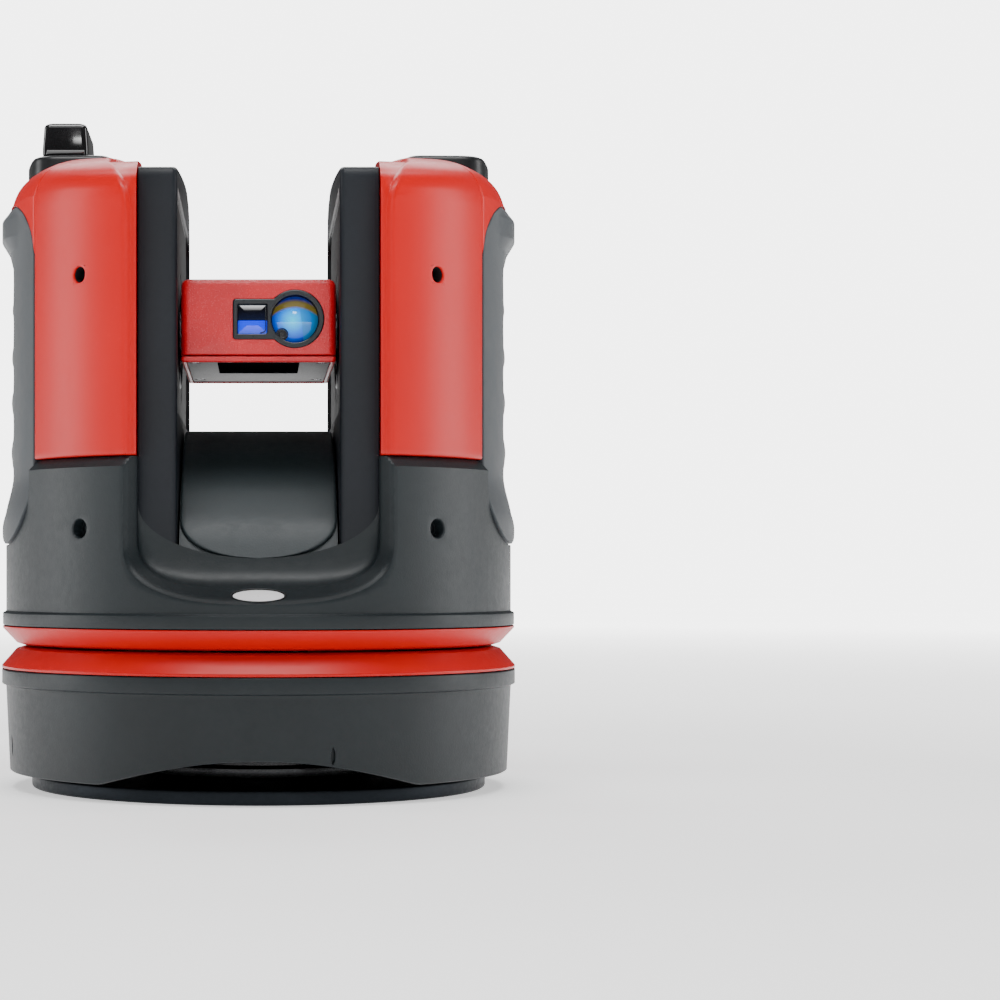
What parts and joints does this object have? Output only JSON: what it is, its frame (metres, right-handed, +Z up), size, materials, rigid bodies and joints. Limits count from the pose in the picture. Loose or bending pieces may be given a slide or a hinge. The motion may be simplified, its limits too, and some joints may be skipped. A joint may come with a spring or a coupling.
{
  "type": "terrestrial laser scanner",
  "caption": "Motorised room-measuring laser station: round foot and base, turning housing with a tower on each side, and a laser and camera head that tilts between the towers.",
  "frame": {"origin": "centre of the foot plate's underside, at the height the station stands on", "axes": "+Z up along the turning axis, -Y towards the front where the laser looks at rest, +X to the viewer's right, along the tilt axis"},
  "size_m": [0.1866, 0.1866, 0.2386],
  "materials": {
    "dark_plastic": "fine grained, satin",
    "frame_plastic": "fine grained, satin",
    "red_plastic": "semi-gloss",
    "red_paint": "fine pebble texture",
    "grip_rubber": "soft matt",
    "gloss_black": "high gloss",
    "bezel_black": "semi-gloss",
    "plate_alloy": "dark anodised",
    "bright_alloy": "machined",
    "head_alloy": "cast, matt",
    "steel": "satin",
    "brass": "machined",
    "board": "solder resist",
    "battery_wrap": "satin",
    "label_film": "satin",
    "badge_metal": "brushed",
    "window_glass": "coated",
    "lens_glass": "coated",
    "sensor_black": "matt"
  },
  "bodies": {
    "base": {"base_plate": "plate_alloy", "tripod_insert": "brass", "neck_ring": "bright_alloy", "base_shell": "dark_plastic", "lower_ring": "red_plastic", "battery_pack": "battery_wrap", "power_socket": "steel", "data_socket": "steel", "azimuth_bearing_outer": "steel", "azimuth_motor": "steel", "slip_ring_core": "sensor_black"},
    "yoke": {"azimuth_bearing_inner": "steel", "azimuth_gear": "brass", "azimuth_shaft": "bright_alloy", "front_badge": "badge_metal", "grip_left": "grip_rubber", "grip_right": "grip_rubber", "housing_screw_front_left": "steel", "housing_screw_front_right": "steel", "housing_screw_rear_left": "steel", "housing_screw_rear_right": "steel", "lower_housing": "dark_plastic", "main_board": "board", "panel_front_left": "red_plastic", "panel_front_right": "red_plastic", "panel_rear_left": "red_plastic", "panel_rear_right": "red_plastic", "panel_screw_front_left": "steel", "panel_screw_front_right": "steel", "panel_screw_rear_left": "steel", "panel_screw_rear_right": "steel", "saddle_cover": "dark_plastic", "tilt_bearing_left": "steel", "tilt_bearing_right": "steel", "tilt_motor": "steel", "top_cap_left": "red_plastic", "top_cap_right": "red_plastic", "tower_frame_left": "frame_plastic", "tower_frame_right": "frame_plastic", "upper_ring": "red_plastic"},
    "head": {"head_cover": "red_paint", "head_lip": "red_paint", "head_bottom_plate": "head_alloy", "head_label": "label_film", "head_bezel": "bezel_black", "camera_window": "window_glass", "receiver_lens": "lens_glass", "laser_emitter": "sensor_black", "lens_barrel": "sensor_black", "camera_module": "sensor_black", "head_board": "board", "trunnion_right": "bright_alloy", "trunnion_left": "bright_alloy", "tilt_gear": "brass"},
    "azimuth_drive": {"azimuth_pinion": "brass"},
    "tilt_drive": {"tilt_pinion": "brass"},
    "button": {"power_button": "red_plastic"},
    "transport_lock": {"lock_knob": "gloss_black", "lock_cam": "steel"}
  },
  "joints": [
    {"name": "azimuth", "type": "hinge", "parent": "base", "child": "yoke", "pos_m": [0, 0, 0.0511], "axis": [0, 0, 1], "continuous": true},
    {"name": "azimuth_pinion_spin", "type": "hinge", "parent": "base", "child": "azimuth_drive", "pos_m": [0.04243, 0.04243, 0.046], "axis": [0, 0, 1], "continuous": true},
    {"name": "tilt", "type": "hinge", "parent": "yoke", "child": "head", "pos_m": [0, 0, 0.1628], "axis": [-1, 0, 0], "range_deg": [-35, 215]},
    {"name": "tilt_pinion_spin", "type": "hinge", "parent": "yoke", "child": "tilt_drive", "pos_m": [0, 0, 0.1318], "axis": [-1, 0, 0], "range_deg": [-770, 135]},
    {"name": "power_button_press", "type": "slide", "parent": "yoke", "child": "button", "axis": [0, 0, -1], "range_m": [0, 0.001], "stiffness_N_per_m": 1500, "springref_m": -0.0004},
    {"name": "transport_lock_turn", "type": "hinge", "parent": "yoke", "child": "transport_lock", "pos_m": [-0.0693, 0, 0.2265], "axis": [0, 0, 1], "range_deg": [0, 90]}
  ],
  "couplings": [
    {"joint": "azimuth_pinion_spin", "follows": "azimuth", "ratio": -5.0909},
    {"joint": "tilt_pinion_spin", "follows": "tilt", "ratio": -3.5255}
  ]
}
